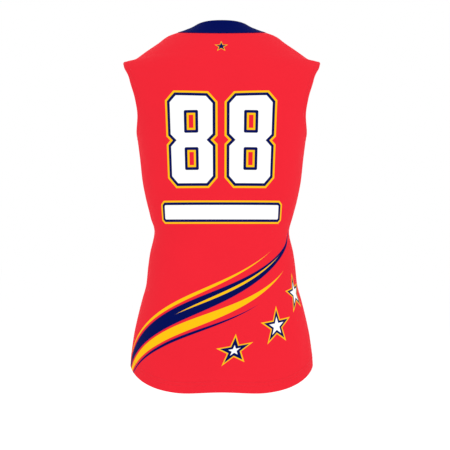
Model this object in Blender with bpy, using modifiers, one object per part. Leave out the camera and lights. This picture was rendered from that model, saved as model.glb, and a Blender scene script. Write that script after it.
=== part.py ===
"""Sleeveless volleyball jersey in its worn form, hollow and open at neck, armholes and hem.

Metres, +Z up. The garment's front faces -Y, its back faces +Y, and +X is the wearer's left.
The origin lies on the middle plane, level with the high shoulder points, where the shoulder
seams meet the neckband. The cloth follows a general figure given by LEVELS: at each height
its outline is a superellipse, and both panels and the neckband are lines on that figure.
"""

import bpy
import numpy as np

# Cloth, its colours in linear light, and the gap between the pieces that meet at a seam
PANEL_WALL = 0.0015
BAND_WALL = 0.0026             # the neckband is folded double
SEAM_GAP = 0.0004
RED = (0.896, 0.024, 0.041)
NAVY = (0.0006, 0.007, 0.098)
KNIT_ROUGHNESS = 0.75

# Neckline and neckband
NECK_HALF_WIDTH = 0.079
BACK_NECK_DROP = 0.011
FRONT_NECK_DROP = 0.088
BAND_WIDTH = 0.026
BAND_CURL = np.radians(2)      # how far the band has turned upright at its free edge, on the shoulder
BACK_BAND_CURL = np.radians(64)        # how much more at the middle of the back
FRONT_BAND_CURL = np.radians(-28)      # and how much less at the middle of the front
BACK_CURL_POWER = 5            # how closely the extra turn keeps to the middle of the back
BAND_EASE = 0.022              # how gradually the band turns the corner at the shoulder seam

# Shoulder and armhole heights, and how far the armhole reaches back and forward of its seams
HIGH_SHOULDER = 0.0
SHOULDER_TIP = -0.053
ARMHOLE_WIDEST = -0.127
UNDERARM = -0.184
BACK_ARMHOLE_REACH = 0.053
FRONT_ARMHOLE_REACH = 0.050
ARMHOLE_LOW_POWER = 0.5        # an ellipse below the widest place
ARMHOLE_HIGH_POWER = 0.7       # and more pointed above it

# Shaped hem
SIDE_HEM = -0.593
CENTRE_HEM = -0.6325
HEM_POWER = 1.5                # how long the hem stays low before it climbs to the side seams

# The figure inside the cloth: half width at the seams, depth from the seams to the middle of the
# back and of the front, and the outline's powers, how flat it is in the middle of each panel and
# how round at the seams (2 and 2 is an ellipse, 1 at the seams a ridge)
LEVELS = np.array([
    (-0.640, 0.1640, 0.1180, 0.1180, 2.50, 2.50),
    (-0.593, 0.1628, 0.1185, 0.1175, 2.50, 2.50),     # hem at the side
    (-0.545, 0.1573, 0.1175, 0.1150, 2.50, 2.50),
    (-0.510, 0.1500, 0.1160, 0.1130, 2.50, 2.50),
    (-0.480, 0.1425, 0.1140, 0.1110, 2.50, 2.50),
    (-0.450, 0.1345, 0.1105, 0.1080, 2.50, 2.50),     # hip
    (-0.420, 0.1315, 0.1050, 0.1035, 2.50, 2.50),
    (-0.395, 0.1280, 0.0990, 0.0995, 2.50, 2.50),
    (-0.357, 0.1205, 0.0935, 0.0965, 2.50, 2.50),     # waist
    (-0.330, 0.1272, 0.0950, 0.0985, 2.50, 2.50),
    (-0.300, 0.1350, 0.0985, 0.1040, 2.50, 2.50),
    (-0.265, 0.1418, 0.1030, 0.1120, 2.50, 2.45),
    (-0.225, 0.1462, 0.1070, 0.1165, 2.50, 2.40),
    (-0.184, 0.1520, 0.1090, 0.1120, 2.50, 2.35),     # underarm
    (-0.155, 0.1575, 0.1080, 0.1010, 2.45, 2.30),
    (-0.124, 0.1685, 0.1050, 0.0860, 2.40, 2.20),
    (-0.090, 0.1775, 0.0985, 0.0710, 2.35, 2.00),
    (-0.070, 0.1790, 0.0930, 0.0645, 2.30, 1.85),
    (-0.060, 0.1785, 0.0900, 0.0615, 2.30, 1.75),
    (-0.053, 0.1760, 0.0870, 0.0590, 2.30, 1.65),     # shoulder tip
    (-0.047, 0.1580, 0.0840, 0.0565, 2.25, 1.60),
    (-0.042, 0.1440, 0.0815, 0.0545, 2.20, 1.55),
    (-0.030, 0.1295, 0.0745, 0.0490, 2.20, 1.50),
    (-0.018, 0.1130, 0.0665, 0.0430, 2.20, 1.45),
    (-0.008, 0.1000, 0.0600, 0.0370, 2.20, 1.40),
    (-0.004, 0.0920, 0.0560, 0.0340, 2.20, 1.35),
    (0.000, 0.0790, 0.0500, 0.0300, 2.20, 1.35),      # high shoulder point
], dtype=[("height", float), ("half_width", float), ("back_depth", float),
          ("front_depth", float), ("flatness", float), ("roundness", float)])

# Mesh density: shares of the way from a panel's middle to its edge at which its columns lie, the
# last one narrow so that the wall's rim is square to the seam, and rows along each stretch of edge
COLUMNS = np.append(np.linspace(0, 1, 16, endpoint=False), (0.988, 1))
SIDE_ROWS = 20
ARMHOLE_ROWS = 13
ARMHOLE_CROWD = 0.5            # how much closer the rows lie at the armhole's two corners
SHOULDER_ROWS = 7
BAND_ROWS = 4
EASE_ROWS = 13                 # rows over which a panel's inner columns ease its edge's corners
EDGE_HOLD = 8                  # how closely the outer columns keep to those corners
FINE = 400                     # samples along a border line before it is spaced evenly
NORMAL_STEP = 0.00001          # between the points of the figure that give its normals
MERGE = 0.0001                 # the mirrored halves are joined where they meet this closely

SEAM = np.pi / 2               # angle round the figure of the side and shoulder seams
BACK, FRONT = 1, -1            # the side of the figure on which a panel lies
DEPTH = {BACK: "back_depth", FRONT: "front_depth"}
NECK_DROP = {BACK: BACK_NECK_DROP, FRONT: FRONT_NECK_DROP}
ARMHOLE_REACH = {BACK: BACK_ARMHOLE_REACH, FRONT: FRONT_ARMHOLE_REACH}
CENTRE_AT_UNDERARM = {BACK: -0.200, FRONT: -0.222}     # heights in a panel's middle of the mesh
CENTRE_AT_TIP = {BACK: -0.078, FRONT: -0.130}          # rows that end at the armhole's two ends


def reading(column, height):
    """One column of LEVELS at any height, on a smooth curve that never swings past a row."""
    at, value = LEVELS["height"], LEVELS[column]
    rise = np.diff(value) / np.diff(at)
    below, above = rise[:-1], rise[1:]
    onward = below * above > 0
    slope = np.zeros_like(value)
    slope[1:-1] = np.where(onward, 2 * below * above / np.where(onward, below + above, 1), 0)
    slope[[0, -1]] = rise[[0, -1]]
    row = np.clip(np.searchsorted(at, height) - 1, 0, len(rise) - 1)
    span = at[row + 1] - at[row]
    t = (height - at[row]) / span
    bend = t * (1 - t) * span * (slope[row] * (1 - t) - slope[row + 1] * t)
    return value[row] * (1 + 2 * t) * (1 - t) ** 2 + value[row + 1] * t ** 2 * (3 - 2 * t) + bend


def on_figure(angle, height, side):
    """Points of the figure at an angle round from the middle of the back or the front.

    Half width times a power of the sine, and depth times another power of the cosine.
    """
    across = np.sin(angle) ** (2 / reading("flatness", height))
    deep = np.clip(np.cos(angle), 0, 1) ** (2 / reading("roundness", height))
    x = reading("half_width", height) * across
    y = side * reading(DEPTH[side], height) * deep
    return np.stack(np.broadcast_arrays(x, y, height), axis=-1)


def unit(vectors):
    """The same directions at length 1."""
    return vectors / np.linalg.norm(vectors, axis=-1, keepdims=True)


def outward(angle, height, side):
    """Unit normals of the figure, pointing out of it."""
    here = on_figure(angle, height, side)
    turned = np.where(angle < SEAM / 2, NORMAL_STEP, -NORMAL_STEP)
    turn = (on_figure(angle + turned, height, side) - here) / turned[:, None]
    climb = here - on_figure(angle, height - NORMAL_STEP, side)
    return unit(np.cross(side * unit(climb), unit(turn)))


def spaced(angle, height, side, shares):
    """Points of a line on the figure at these shares of its length."""
    step = np.linalg.norm(np.diff(on_figure(angle, height, side), axis=0), axis=1)
    length = np.append(0, np.cumsum(step))
    at = shares * length[-1]
    return np.interp(at, length, angle), np.interp(at, length, height)


def hem_line(side):
    """From the middle of the hem, level there, up to its higher end at the side seam."""
    angle = np.linspace(0, SEAM, FINE)
    share = np.cos(angle) ** (2 / reading("roundness", CENTRE_HEM))
    height = CENTRE_HEM + (SIDE_HEM - CENTRE_HEM) * (1 - share ** 2) ** HEM_POWER
    return spaced(angle, height, side, COLUMNS)


def neck_line(side):
    """From the middle of the neckline, an ellipse in front view, to the high shoulder point."""
    turn = np.linspace(0, SEAM, FINE)
    height = HIGH_SHOULDER - NECK_DROP[side] * np.cos(turn)
    share = np.clip(NECK_HALF_WIDTH * np.sin(turn) / reading("half_width", height), 0, 1)
    angle = np.arcsin(share ** (reading("flatness", height) / 2))
    return spaced(angle, height, side, COLUMNS)


def armhole_line(side):
    """From the underarm to the shoulder tip, an egg in side view with its round end down."""
    turn = np.linspace(0, np.pi, FINE)
    height = UNDERARM + (SHOULDER_TIP - UNDERARM) * (1 - np.cos(turn)) / 2
    low = np.clip((ARMHOLE_WIDEST - height) / (ARMHOLE_WIDEST - UNDERARM), 0, 1)
    high = np.clip((height - ARMHOLE_WIDEST) / (SHOULDER_TIP - ARMHOLE_WIDEST), 0, 1)
    narrowing = (1 - low ** 2) ** ARMHOLE_LOW_POWER * (1 - high ** 2) ** ARMHOLE_HIGH_POWER
    share = ARMHOLE_REACH[side] * narrowing / reading(DEPTH[side], height)
    angle = np.arccos(share ** (reading("roundness", height) / 2))
    even = np.linspace(0, 2 * np.pi, ARMHOLE_ROWS + 1)
    crowded = even - ARMHOLE_CROWD * np.sin(even)
    return spaced(angle, height, side, crowded / (2 * np.pi))


def seam_line(side, bottom, top, rows):
    """A stretch of side or shoulder seam."""
    height = np.linspace(bottom, top, FINE)
    return spaced(np.full(FINE, SEAM), height, side, np.linspace(0, 1, rows + 1))


def edge_line(side):
    """A panel's whole edge: side seam, armhole and shoulder seam."""
    side_seam = seam_line(side, SIDE_HEM, UNDERARM, SIDE_ROWS)
    armhole = armhole_line(side)
    shoulder_seam = seam_line(side, SHOULDER_TIP, HIGH_SHOULDER, SHOULDER_ROWS)
    return tuple(np.concatenate([a, b[1:], c[1:]])
                 for a, b, c in zip(side_seam, armhole, shoulder_seam))


def centre_line(side):
    """Heights down the middle of a panel, one for each row of its edge."""
    rows = np.cumsum([0, SIDE_ROWS, ARMHOLE_ROWS, SHOULDER_ROWS])
    heights = [CENTRE_HEM, CENTRE_AT_UNDERARM[side], CENTRE_AT_TIP[side], -NECK_DROP[side]]
    return np.interp(np.arange(rows[-1] + 1), rows, heights)


def eased(values):
    """Values along a line, each averaged with its neighbours."""
    window = np.hanning(EASE_ROWS + 2)[1:-1]
    padded = np.pad(values, EASE_ROWS // 2, mode="reflect", reflect_type="odd")
    return np.convolve(padded, window / window.sum(), mode="valid")


def across_panel(middle, edge, hem, neck):
    """Values over a panel from its four borders: straight from middle to edge, bent as its ends are.

    Only the columns near the edge turn its corners; the others follow the edge with corners eased.
    """
    u = COLUMNS
    v = np.linspace(0, 1, len(edge))[:, None]
    followed = eased(edge)[:, None] + u ** EDGE_HOLD * (edge - eased(edge))[:, None]
    straight = (1 - u) * middle[:, None] + u * followed
    hem_bend = hem - (1 - u) * hem[0] - u * hem[-1]
    neck_bend = neck - (1 - u) * neck[0] - u * neck[-1]
    return straight + (1 - v ** 2) * hem_bend + v ** 2 * neck_bend


def half_panel(side):
    """Grid of points over one half of a panel, rows from hem to neckline."""
    edge_angle, edge_height = edge_line(side)
    hem_angle, hem_height = hem_line(side)
    neck_angle, neck_height = neck_line(side)
    angle = across_panel(np.zeros_like(edge_angle), edge_angle, hem_angle, neck_angle)
    height = across_panel(centre_line(side), edge_height, hem_height, neck_height)
    grid = on_figure(angle, height, side)
    grid[..., 1] += side * SEAM_GAP / 2
    return grid


def neck_ring():
    """Seam points and figure normals all round the neckline, from the middle of the back."""
    halves = []
    for line in (on_figure, outward):
        behind = line(*neck_line(BACK), BACK)
        before = line(*neck_line(FRONT), FRONT)[-2::-1]
        half = np.concatenate([behind, before])
        halves.append(np.concatenate([half, half[-2:0:-1] * (-1, 1, 1)]))
    return halves


def softened(directions, points):
    """Directions averaged over the nearby points of a closed ring, so that they turn gradually."""
    spacing = np.linalg.norm(np.roll(points, -1, axis=0) - np.roll(points, 1, axis=0), axis=1)
    apart = np.linalg.norm(points[:, None] - points[None], axis=2)
    weight = np.exp(-(apart / BAND_EASE) ** 2) * spacing
    return unit(weight @ directions)


def half_band():
    """Grid over one half of the neckband: it leaves each panel flush and turns upright."""
    seam, normal = neck_ring()
    along = unit(np.roll(seam, -1, axis=0) - np.roll(seam, 1, axis=0))
    flush = np.cross(along, normal)
    inward, upward = softened(flush, seam), softened(normal, seam)
    behind = np.clip(upward[:, 1:2], 0, 1) ** BACK_CURL_POWER
    before = np.clip(-upward[:, 1:2], 0, 1)
    curl = BAND_CURL + BACK_BAND_CURL * behind + FRONT_BAND_CURL * before
    turned = np.linspace(0, 1, BAND_ROWS)[:, None, None] * curl
    step = np.cos(turned) * inward + np.sin(turned) * upward
    step[0] = flush
    start = seam + SEAM_GAP * flush
    grid = np.concatenate([start[None], start + np.cumsum(step, axis=0) * BAND_WIDTH / BAND_ROWS])
    half = grid[:, :2 * len(COLUMNS) - 1]
    half[:, [0, -1], 0] = 0
    return half


def material(name, colour):
    """Matt knitted cloth of one colour."""
    made = bpy.data.materials.new(name)
    made.use_nodes = True
    shader = made.node_tree.nodes["Principled BSDF"]
    shader.inputs["Base Color"].default_value = (*colour, 1)
    shader.inputs["Roughness"].default_value = KNIT_ROUGHNESS
    shader.inputs["Metallic"].default_value = 0
    return made


def cloth(name, grid, wall, finish, collection):
    """A half sheet of cloth, mirrored about the middle plane and given its wall."""
    rows, columns = grid.shape[:2]
    index = np.arange(rows * columns).reshape(rows, columns)
    corners = (index[:-1, :-1], index[:-1, 1:], index[1:, 1:], index[1:, :-1])
    faces = np.stack(corners, axis=-1).reshape(-1, 4)
    mesh = bpy.data.meshes.new(name)
    mesh.from_pydata(grid.reshape(-1, 3).tolist(), [], faces.tolist())
    mesh.materials.append(finish)
    mesh.shade_smooth()
    piece = bpy.data.objects.new(name, mesh)
    collection.objects.link(piece)
    mirror = piece.modifiers.new("other half", "MIRROR")
    mirror.merge_threshold = MERGE
    solidify = piece.modifiers.new("wall", "SOLIDIFY")
    solidify.thickness = wall
    solidify.offset = 0


def build():
    """Both panels and the neckband, in a collection of their own."""
    for old in list(bpy.data.objects):
        bpy.data.objects.remove(old)
    jersey = bpy.data.collections.new("volleyball_jersey")
    bpy.context.scene.collection.children.link(jersey)
    red = material("red_knit", RED)
    navy = material("navy_knit", NAVY)
    cloth("back", half_panel(BACK)[:, ::-1], PANEL_WALL, red, jersey)
    cloth("front", half_panel(FRONT), PANEL_WALL, red, jersey)
    cloth("collar", half_band()[:, ::-1], BAND_WALL, navy, jersey)


build()
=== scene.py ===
"""A sleeveless volleyball jersey in its worn form, hollow and open at neck, armholes and hem.

Metres, +Z up. The jersey's back faces +Y, its front -Y, and +X is the wearer's left. The origin
lies on the middle plane, level with the high shoulder points at the two ends of the neckline.
"""

from functools import partialmethod, reduce

import bpy
import numpy as np
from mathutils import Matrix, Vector


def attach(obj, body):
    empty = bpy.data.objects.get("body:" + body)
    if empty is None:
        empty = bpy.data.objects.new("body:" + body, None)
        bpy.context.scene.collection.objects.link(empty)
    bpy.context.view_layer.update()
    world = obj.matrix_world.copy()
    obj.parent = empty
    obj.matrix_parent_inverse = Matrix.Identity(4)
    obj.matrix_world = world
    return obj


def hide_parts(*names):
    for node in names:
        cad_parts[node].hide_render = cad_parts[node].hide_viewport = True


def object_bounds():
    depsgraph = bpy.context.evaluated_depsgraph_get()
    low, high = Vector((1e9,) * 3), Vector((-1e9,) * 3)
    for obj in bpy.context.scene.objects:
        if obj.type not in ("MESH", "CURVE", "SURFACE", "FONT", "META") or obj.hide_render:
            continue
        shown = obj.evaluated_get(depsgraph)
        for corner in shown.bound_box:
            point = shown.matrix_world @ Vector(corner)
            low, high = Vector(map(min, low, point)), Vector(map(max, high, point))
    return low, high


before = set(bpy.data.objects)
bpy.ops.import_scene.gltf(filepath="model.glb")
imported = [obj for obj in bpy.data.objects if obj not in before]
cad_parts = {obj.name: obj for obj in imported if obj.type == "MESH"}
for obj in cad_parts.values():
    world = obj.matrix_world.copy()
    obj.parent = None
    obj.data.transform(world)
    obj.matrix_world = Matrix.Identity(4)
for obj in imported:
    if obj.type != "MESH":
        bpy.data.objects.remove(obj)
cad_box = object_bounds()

# ------------------------------------------------------------------------------------------------
# Back panel. One piece of fine interlock, knitted of polyester, cut on the fold. Its colours were
# sublimated into the face of the flat cloth before it was sewn: they are dye, with no thickness.
# Hem and armholes are turned in once, so the cloth is double there.

SINGLE_CLOTH = 0.0008
DOUBLE_CLOTH = 0.0016
HEM_DEPTH = 0.020
ARMHOLE_TURNING = 0.010
SEAM_GAP = 0.0004              # between pieces that meet at a seam

NECK_HALF_WIDTH = 0.079
SHOULDER_TIP = -0.053          # heights of the armhole: its top, its widest place and its bottom
ARMHOLE_WIDEST = -0.127
UNDERARM = -0.184
ARMHOLE_LOW_POWER = 0.5        # an ellipse below the widest place
ARMHOLE_HIGH_POWER = 0.7       # and more pointed above it
SIDE_HEM = -0.593
CENTRE_HEM = -0.6325
HEM_POWER = 1.5                # how long the hem stays low before it climbs to the side seams
HEM_RISE = {"back": 0.0036, "front": 0.0}      # how far it rides up in the middle,
HEM_RISE_REACH = 0.078                         # and how far to both sides


def number_columns(names):
    """The type of a table's columns, which hold numbers, by their names."""
    return [(name, float) for name in names.split()]


# The form that the cloth lies on. At each height its outline is a superellipse: half width at the
# seams, depth of the back and of the front, two powers, the one for the middle of a panel and the
# one for its part at the seams, and by how much the shoulder tips stick out where the seam ends.
FORM = np.array([
    (-0.640, 0.1640, 0.1180, 0.1180, 2.50, 2.50, 0),
    (-0.593, 0.1628, 0.1185, 0.1175, 2.50, 2.50, 0),  # hem at the side
    (-0.545, 0.1573, 0.1175, 0.1150, 2.50, 2.50, 0),
    (-0.510, 0.1500, 0.1160, 0.1130, 2.50, 2.50, 0),
    (-0.480, 0.1425, 0.1140, 0.1110, 2.50, 2.50, 0),
    (-0.450, 0.1345, 0.1105, 0.1080, 2.50, 2.50, 0),  # hip
    (-0.420, 0.1315, 0.1050, 0.1035, 2.50, 2.50, 0),
    (-0.395, 0.1280, 0.0990, 0.0995, 2.50, 2.50, 0),
    (-0.357, 0.1205, 0.0935, 0.0965, 2.50, 2.50, 0),  # waist
    (-0.330, 0.1272, 0.0950, 0.0985, 2.50, 2.50, 0),
    (-0.300, 0.1350, 0.0985, 0.1040, 2.50, 2.50, 0),
    (-0.265, 0.1418, 0.1030, 0.1120, 2.50, 2.45, 0),
    (-0.225, 0.1462, 0.1070, 0.1165, 2.50, 2.40, 0),
    (-0.184, 0.1520, 0.1090, 0.1120, 2.50, 2.35, 0),  # underarm
    (-0.155, 0.1575, 0.1080, 0.1010, 2.45, 2.30, 0),
    (-0.124, 0.1685, 0.1050, 0.0860, 2.40, 2.20, 0),
    (-0.090, 0.1775, 0.0985, 0.0710, 2.35, 2.00, 0),
    (-0.070, 0.1760, 0.0930, 0.0645, 2.30, 1.85, 0.0065),
    (-0.060, 0.1705, 0.0900, 0.0615, 2.30, 1.75, 0.0103),
    (-0.053, 0.1635, 0.0870, 0.0590, 2.30, 1.65, 0.0125),      # shoulder tip
    (-0.0505, 0.1597, 0.0857, 0.0580, 2.28, 1.63, 0.0038),
    (-0.048, 0.1555, 0.0845, 0.0570, 2.25, 1.60, 0),
    (-0.043, 0.1485, 0.0820, 0.0550, 2.20, 1.55, 0),
    (-0.038, 0.1418, 0.0793, 0.0527, 2.20, 1.53, 0),
    (-0.030, 0.1305, 0.0745, 0.0490, 2.20, 1.50, 0),
    (-0.018, 0.1130, 0.0665, 0.0430, 2.20, 1.45, 0),
    (-0.008, 0.1000, 0.0600, 0.0370, 2.20, 1.40, 0),
    (-0.004, 0.0920, 0.0560, 0.0340, 2.20, 1.35, 0),
    (0.000, 0.0790, 0.0500, 0.0300, 2.20, 1.35, 0),   # high shoulder point
], dtype=number_columns("height half_width back front middle_power seam_power flare"))
FLARE_POWER = 8                # how closely that widening keeps to the seams

SEAM = np.pi / 2               # angle round the form of the side and shoulder seams
FACING = {"back": 1, "front": -1}
NECK_DROP = {"back": 0.011, "front": 0.088}
ARMHOLE_REACH = {"back": 0.053, "front": 0.050}
MIDDLE_AT_UNDERARM = {"back": -0.200, "front": -0.222}     # heights in a panel's middle of the mesh
MIDDLE_AT_TIP = {"back": -0.078, "front": -0.130}          # rows that end at the armhole's two ends

COLUMNS = np.linspace(0, 1, 53)
SIDE_ROWS = 62
ARMHOLE_ROWS = 40
SHOULDER_ROWS = 22
ARMHOLE_CROWD = 0.5            # how much closer the rows lie at the armhole's two corners
EASE_ROWS = 41                 # rows over which a panel's inner columns ease its edge's corners
EDGE_HOLD = 8                  # how closely the outer columns keep to those corners
FINE = 800                     # samples along a border line before it is spaced
OUTLINE_SAMPLES = 49           # along a level outline, to measure it
BORDER_SAMPLES = 90            # along each border, to measure how far a point is from it
TURNING_SAMPLES = 200          # the same for the turnings, whose edges have to be sharper
TINY = 0.00001                 # step between the points of the form that give its normals
CREASE_FADE = 0.02             # from a panel's border to where its creases are at their full depth
EDGE_ROUNDING = 0.0003         # of the cloth's edges, and the least angle that counts as one
EDGE_ANGLE = np.radians(60)


def reading(column, height):
    """One column of FORM at any height: a cubic between rows, whose slope at a row is the harmonic
    mean of the slopes on both sides, so that it never swings past a row."""
    at, value = FORM["height"], FORM[column]
    rise = np.diff(value) / np.diff(at)
    below, above = rise[:-1], rise[1:]
    onward = below * above > 0
    slope = np.zeros_like(value)
    slope[1:-1] = np.where(onward, 2 * below * above / np.where(onward, below + above, 1), 0)
    slope[[0, -1]] = rise[[0, -1]]
    row = np.clip(np.searchsorted(at, height) - 1, 0, len(rise) - 1)
    span = at[row + 1] - at[row]
    t = (height - at[row]) / span
    bend = t * (1 - t) * span * (slope[row] * (1 - t) - slope[row + 1] * t)
    return value[row] * (1 + 2 * t) * (1 - t) ** 2 + value[row + 1] * t ** 2 * (3 - 2 * t) + bend


def on_form(angle, height, panel):
    """Points of the form: half width, widened near the seams, times a power of the angle's sine,
    and depth times a power of its cosine."""
    across = np.sin(angle) ** (2 / reading("middle_power", height))
    deep = np.clip(np.cos(angle), 0, 1) ** (2 / reading("seam_power", height))
    flare = reading("flare", height) * np.sin(angle) ** FLARE_POWER
    x = (reading("half_width", height) + flare) * across
    y = FACING[panel] * reading(panel, height) * deep
    return np.stack(np.broadcast_arrays(x, y, height), axis=-1)


def unit(vectors):
    """The same directions at length 1."""
    return vectors / np.linalg.norm(vectors, axis=-1, keepdims=True)


def outward(angle, height, panel):
    """Normals of the form: the cross product of a tiny climb and a tiny turn, out of it."""
    here = on_form(angle, height, panel)
    turned = np.where(angle < SEAM / 2, TINY, -TINY)
    turn = (on_form(angle + turned, height, panel) - here) / turned[..., None]
    climb = here - on_form(angle, height - TINY, panel)
    return unit(np.cross(FACING[panel] * unit(climb), unit(turn)))


def run_along(points):
    """Length of a line up to each of its points."""
    return np.append(0, np.cumsum(np.linalg.norm(np.diff(points, axis=0), axis=1)))


def spaced(angle, height, panel, shares):
    """Points of a line on the form at these shares of its length."""
    run = run_along(on_form(angle, height, panel))
    at = shares * run[-1]
    return np.interp(at, run, angle), np.interp(at, run, height)


def hem_line(panel, shares):
    """From the middle of the hem, level there, up to its higher end at the side seam, with a low
    hump in the middle: one less a square, squared."""
    angle = np.linspace(0, SEAM, FINE)
    level = on_form(angle, np.full(FINE, CENTRE_HEM), panel)
    share = np.abs(level[:, 1]) / reading(panel, CENTRE_HEM)
    hump = np.clip(1 - (level[:, 0] / HEM_RISE_REACH) ** 2, 0, 1) ** 2
    climb = (SIDE_HEM - CENTRE_HEM) * (1 - share ** 2) ** HEM_POWER
    return spaced(angle, CENTRE_HEM + climb + HEM_RISE[panel] * hump, panel, shares)


def neck_line(panel, shares):
    """From the middle of the neckline, an ellipse in front view, to the high shoulder point."""
    turn = np.linspace(0, SEAM, FINE)
    height = -NECK_DROP[panel] * np.cos(turn)
    share = np.clip(NECK_HALF_WIDTH * np.sin(turn) / reading("half_width", height), 0, 1)
    angle = np.arcsin(share ** (reading("middle_power", height) / 2))
    return spaced(angle, height, panel, shares)


def armhole_line(panel, shares, grown=0.0):
    """From the underarm to the shoulder tip, an egg in side view with its round end down, or the
    same egg grown by a distance on all sides."""
    climb = np.linspace(SHOULDER_TIP, 0, FINE)
    run = run_along(on_form(np.full(FINE, SEAM), climb, panel))
    bottom, top = UNDERARM - grown, np.interp(grown, run, climb)
    height = bottom + (top - bottom) * (1 - np.cos(np.linspace(0, np.pi, FINE))) / 2
    low = np.clip((ARMHOLE_WIDEST - height) / (ARMHOLE_WIDEST - bottom), 0, 1)
    high = np.clip((height - ARMHOLE_WIDEST) / (top - ARMHOLE_WIDEST), 0, 1)
    narrowing = (1 - low ** 2) ** ARMHOLE_LOW_POWER * (1 - high ** 2) ** ARMHOLE_HIGH_POWER
    share = (ARMHOLE_REACH[panel] + grown) * narrowing / reading(panel, height)
    return spaced(np.arccos(share ** (reading("seam_power", height) / 2)), height, panel, shares)


def seam_line(panel, bottom, top, shares):
    """A stretch of side or shoulder seam."""
    return spaced(np.full(FINE, SEAM), np.linspace(bottom, top, FINE), panel, shares)


def edge_line(panel):
    """A panel's whole edge: side seam, armhole and shoulder seam."""
    even = np.linspace(0, 2 * np.pi, ARMHOLE_ROWS + 1)
    crowded = (even - ARMHOLE_CROWD * np.sin(even)) / (2 * np.pi)
    side_seam = seam_line(panel, SIDE_HEM, UNDERARM, np.linspace(0, 1, SIDE_ROWS + 1))
    armhole = armhole_line(panel, crowded)
    shoulder_seam = seam_line(panel, SHOULDER_TIP, 0, np.linspace(0, 1, SHOULDER_ROWS + 1))
    return tuple(np.concatenate([a, b[1:], c[1:]])
                 for a, b, c in zip(side_seam, armhole, shoulder_seam))


def inside_border(line, panel, depth):
    """A border line moved this far to the left of its run, seen from outside on the left half, and
    laid back onto the form: its angles and heights."""
    here = on_form(*line, panel)
    along = unit(np.gradient(here, axis=0))
    moved = here + depth * FACING[panel] * unit(np.cross(along, outward(*line, panel)))
    height = np.minimum(moved[:, 2], 0)
    across = np.abs(moved[:, 0]) / reading("half_width", height)
    deep = np.abs(moved[:, 1]) / reading(panel, height)
    angle = np.arctan2(across ** (reading("middle_power", height) / 2),
                       deep ** (reading("seam_power", height) / 2))
    return angle, height


def eased(values):
    """Values along a line, each averaged with its neighbours."""
    window = np.hanning(EASE_ROWS + 2)[1:-1]
    padded = np.pad(values, EASE_ROWS // 2, mode="reflect", reflect_type="odd")
    return np.convolve(padded, window / window.sum(), mode="valid")


def across_panel(middle, edge, hem, neck):
    """Values over a half panel from its four borders: a straight blend from the middle to the
    edge, plus the bend of the hem, fading upwards, and that of the neckline, fading downwards.
    Only the columns near the edge turn its corners; the others follow it with corners eased."""
    u = COLUMNS
    v = np.linspace(0, 1, len(edge))[:, None]
    followed = eased(edge)[:, None] + u ** EDGE_HOLD * (edge - eased(edge))[:, None]
    straight = (1 - u) * middle[:, None] + u * followed
    hem_bend = hem - (1 - u) * hem[0] - u * hem[-1]
    neck_bend = neck - (1 - u) * neck[0] - u * neck[-1]
    return straight + (1 - v ** 2) * hem_bend + v ** 2 * neck_bend


def half_panel(panel):
    """Angles and heights over one half of a panel, rows from hem to neckline."""
    edge_angle, edge_height = edge_line(panel)
    hem_angle, hem_height = hem_line(panel, COLUMNS)
    neck_angle, neck_height = neck_line(panel, COLUMNS)
    rows = np.cumsum([0, SIDE_ROWS, ARMHOLE_ROWS, SHOULDER_ROWS])
    stops = [hem_height[0], MIDDLE_AT_UNDERARM[panel], MIDDLE_AT_TIP[panel], -NECK_DROP[panel]]
    middle_height = np.interp(np.arange(rows[-1] + 1), rows, stops)
    angle = across_panel(np.zeros_like(edge_angle), edge_angle, hem_angle, neck_angle)
    return angle, across_panel(middle_height, edge_height, hem_height, neck_height)


def down_middle(height, panel):
    """Length of cloth down a panel's middle, from the high shoulder points' level: negative."""
    at = np.linspace(FORM["height"][0], 0, FINE)
    run = run_along(on_form(np.zeros(FINE), at, panel))
    return np.interp(height, at, run - run[-1])


def flat_place(angle, height, panel):
    """Where cloth lies on the flat panel: the length of the form's level outline from the middle,
    and the length down the middle."""
    share = np.linspace(0, 1, OUTLINE_SAMPLES)
    line = on_form(angle[..., None] * share, height[..., None] + 0 * share, panel)
    round_form = np.linalg.norm(np.diff(line, axis=-2), axis=-1).sum(axis=-1)
    return np.stack([round_form, down_middle(height, panel)], axis=-1)


# Soft creases of worn knit, each a trough or a ridge: its middle on the flat panel, its direction
# from level, and its length, width and depth. They are faint, because the cloth is nearly smooth.
CREASE = number_columns("across up slant length width depth")
BACK_CREASES = np.array([
    (0.150, -0.372, 8, 0.085, 0.0080, 0.0010),        # at the waist, from the side seams
    (0.142, -0.394, -6, 0.060, 0.0065, 0.0007),
    (0.156, -0.352, 17, 0.050, 0.0070, -0.0006),
    (-0.152, -0.378, -10, 0.078, 0.0075, 0.0009),
    (-0.146, -0.356, -20, 0.056, 0.0070, 0.0007),
    (-0.139, -0.401, 4, 0.047, 0.0060, -0.0005),
    (0.178, -0.222, 52, 0.070, 0.0080, 0.0009),       # drag lines below the underarms
    (0.160, -0.247, 43, 0.052, 0.0070, 0.0006),
    (-0.181, -0.226, -49, 0.066, 0.0080, 0.0008),
    (-0.163, -0.250, -38, 0.050, 0.0065, 0.0006),
    (0.150, -0.084, 28, 0.060, 0.0085, 0.0007),       # behind the shoulders
    (-0.147, -0.080, -31, 0.065, 0.0085, 0.0007),
    (0.105, -0.590, 84, 0.070, 0.0120, 0.0009),       # slack at the hem
    (-0.050, -0.604, 93, 0.062, 0.0130, 0.0008),
    (-0.163, -0.583, 99, 0.075, 0.0110, 0.0010),
], dtype=CREASE)


def creased(flat, creases):
    """Height of the cloth over its form: for each crease, a bell across it times one along it."""
    height = np.zeros(flat.shape[:-1])
    for crease in creases:
        slant = np.radians(crease["slant"])
        across, up = flat[..., 0] - crease["across"], flat[..., 1] - crease["up"]
        along = across * np.cos(slant) + up * np.sin(slant)
        aside = up * np.cos(slant) - across * np.sin(slant)
        bell = np.exp(-(aside / crease["width"]) ** 2 - (2 * along / crease["length"]) ** 4)
        height -= crease["depth"] * bell
    return height


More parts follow.
